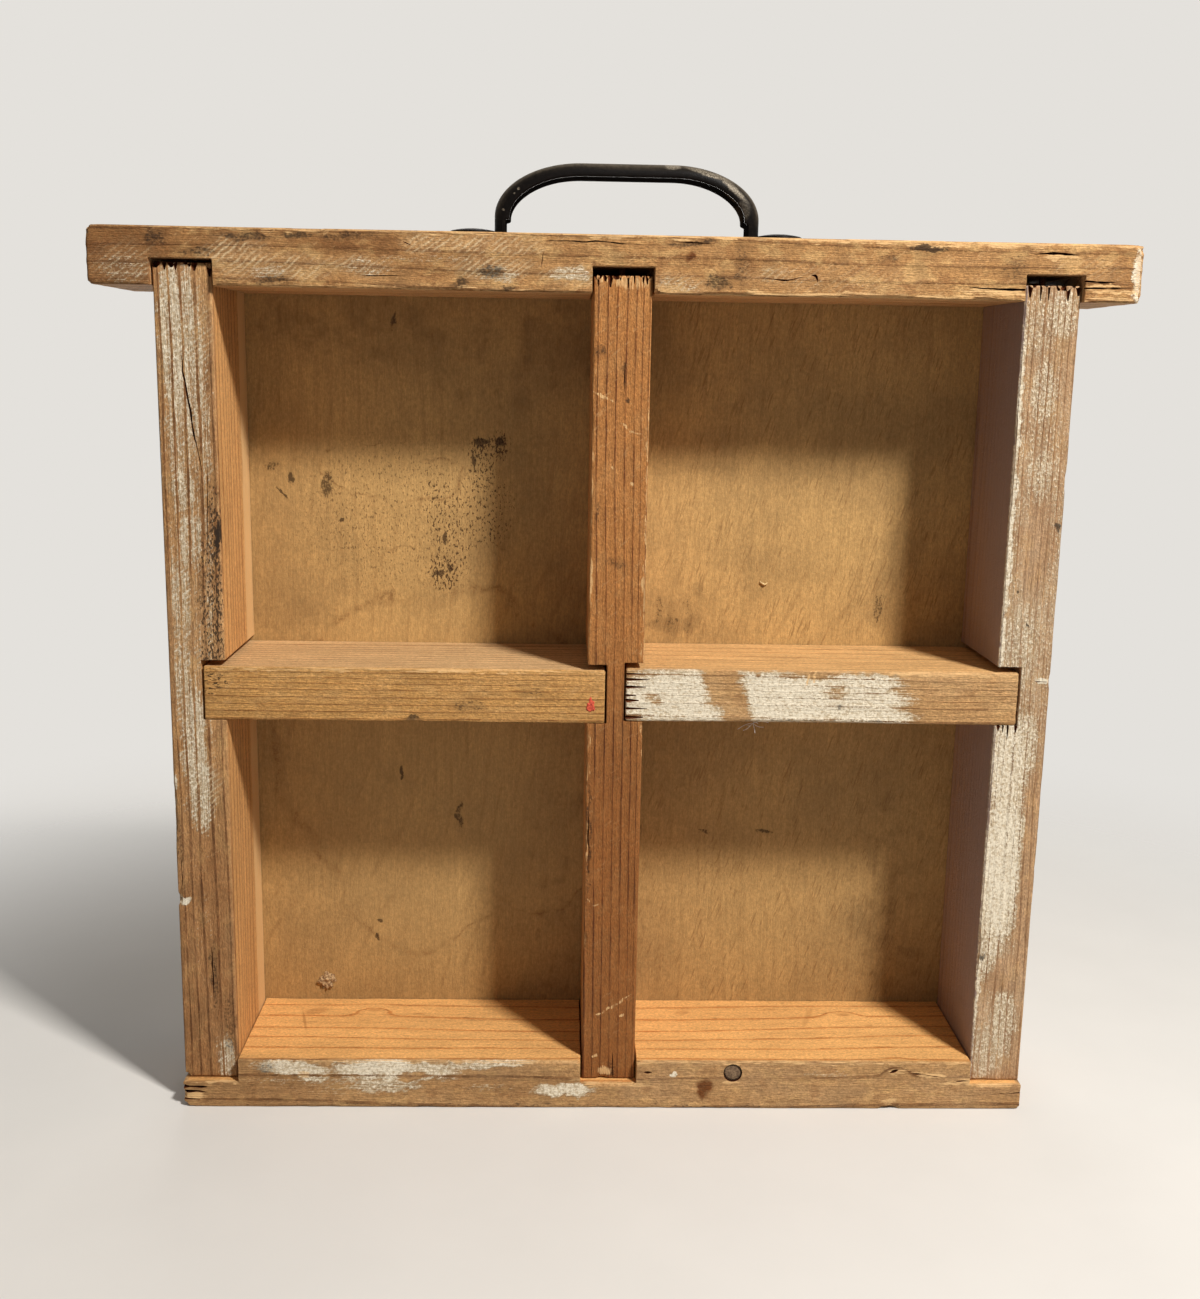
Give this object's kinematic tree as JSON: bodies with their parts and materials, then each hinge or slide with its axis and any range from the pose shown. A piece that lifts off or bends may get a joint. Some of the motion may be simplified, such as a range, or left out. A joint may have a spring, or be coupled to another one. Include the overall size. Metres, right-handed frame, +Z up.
{
  "type": "tool storage caddy",
  "caption": "Open-fronted wooden tool caddy: boards housed together into four compartments, with a plywood back and a stamped steel carry handle on the overhanging top board.",
  "frame": {"origin": "on the surface the caddy stands on, at the middle of its width and depth", "axes": "+X to the right along the top board, +Y to the plywood back, +Z up to the handle; the open front faces -Y"},
  "size_m": [0.3388, 0.055, 0.3254],
  "materials": {
    "weathered_pine": "weathered, bare and dirty",
    "bare_pine": "bare, planed",
    "whitewashed_pine": "worn white paint left in the grain",
    "plywood": "bare plywood, aged",
    "black_steel": "black enamel, worn",
    "nail_steel": "dull, rusty"
  },
  "bodies": {
    "root": {"top_board": "weathered_pine", "bottom_board": "weathered_pine", "left_upright": "whitewashed_pine", "centre_upright": "bare_pine", "right_upright": "whitewashed_pine", "left_shelf": "bare_pine", "right_shelf": "whitewashed_pine", "back_panel": "plywood", "carry_handle": "black_steel", "handle_screws": "black_steel", "left_top_nails": "nail_steel", "centre_top_nails": "nail_steel", "right_top_nails": "nail_steel", "left_bottom_nails": "nail_steel", "centre_bottom_nails": "nail_steel", "right_bottom_nails": "nail_steel", "left_shelf_nails": "nail_steel", "right_shelf_nails": "nail_steel", "top_brads": "nail_steel", "bottom_brads": "nail_steel", "left_brads": "nail_steel", "centre_brads": "nail_steel", "right_brads": "nail_steel", "left_shelf_brads": "nail_steel", "right_shelf_brads": "nail_steel"}
  },
  "joints": []
}
